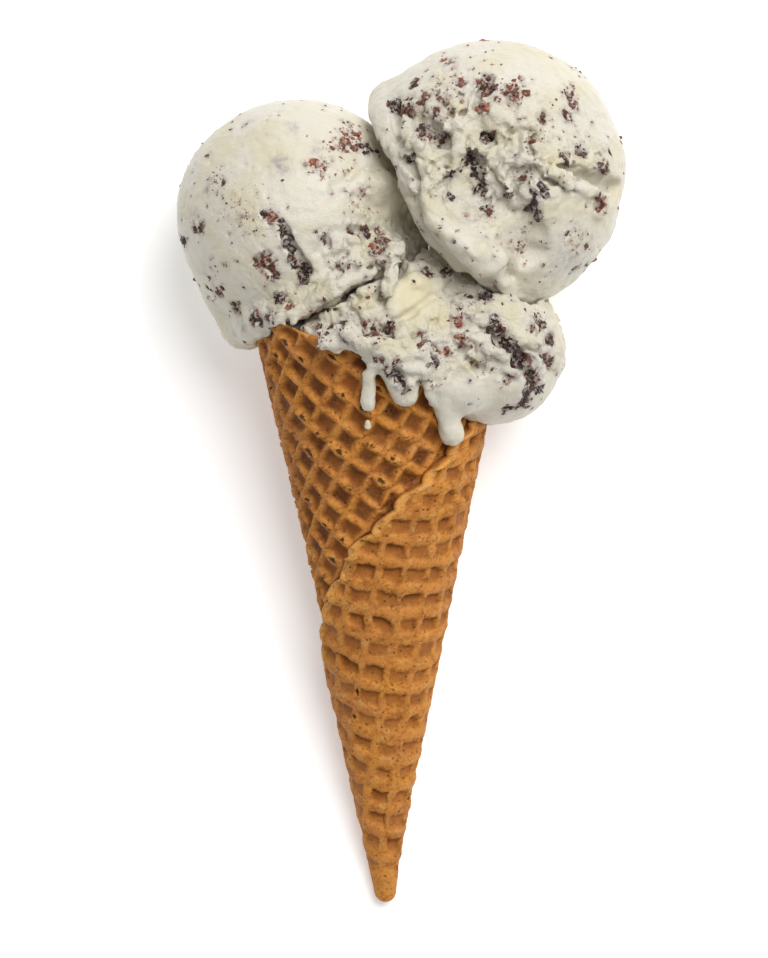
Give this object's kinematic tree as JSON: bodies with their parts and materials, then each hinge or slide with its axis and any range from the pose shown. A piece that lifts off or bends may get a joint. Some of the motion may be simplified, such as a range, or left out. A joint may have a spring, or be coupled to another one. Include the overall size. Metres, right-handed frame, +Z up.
{
  "type": "ice cream cone",
  "caption": "Rolled waffle cone lying on its side with three scoops of chocolate chip ice cream, lips and drips over the rim.",
  "frame": {"origin": "on the table under the middle of the whole", "axes": "+Z up from the table, -Y towards the cone's tip, +Y towards the scoops, +X to the right seen from above with the tip towards the viewer"},
  "size_m": [0.1001, 0.1946, 0.0594],
  "materials": {
    "wafer": "baked waffle wafer, golden brown ridges, darker pits, matt and slightly porous",
    "cream": "soft off-white ice cream, finely icy, moist sheen, with some light passing into it",
    "chocolate": "broken dark chocolate, reddish brown on fresh breaks, softly shiny"
  },
  "bodies": {
    "root": {"cone": "wafer", "scoop_left": "cream", "scoop_right": "cream", "scoop_lower": "cream"}
  },
  "joints": []
}
